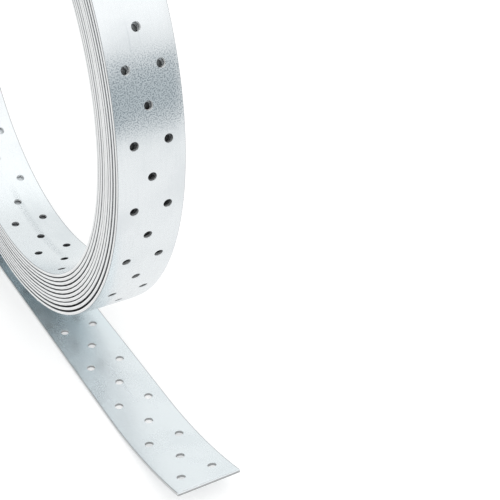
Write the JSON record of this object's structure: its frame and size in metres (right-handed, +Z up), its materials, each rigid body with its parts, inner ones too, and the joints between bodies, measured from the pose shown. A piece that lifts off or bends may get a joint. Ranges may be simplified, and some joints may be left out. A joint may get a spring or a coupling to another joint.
{
  "type": "perforated steel strap",
  "caption": "Galvanised steel strap with staggered round holes along its length, wound into a standing coil with its free end run out along the floor.",
  "frame": {"origin": "middle of the coil's eye: on the winding axis, midway across the strap's width", "axes": "+X along the free end towards its tip, Y along the winding axis, +Z up"},
  "size_m": [0.4055, 0.04, 0.3426],
  "materials": {
    "zinc_steel": "satin hot-dip zinc"
  },
  "bodies": {
    "root": {"strap": "zinc_steel"}
  },
  "joints": []
}
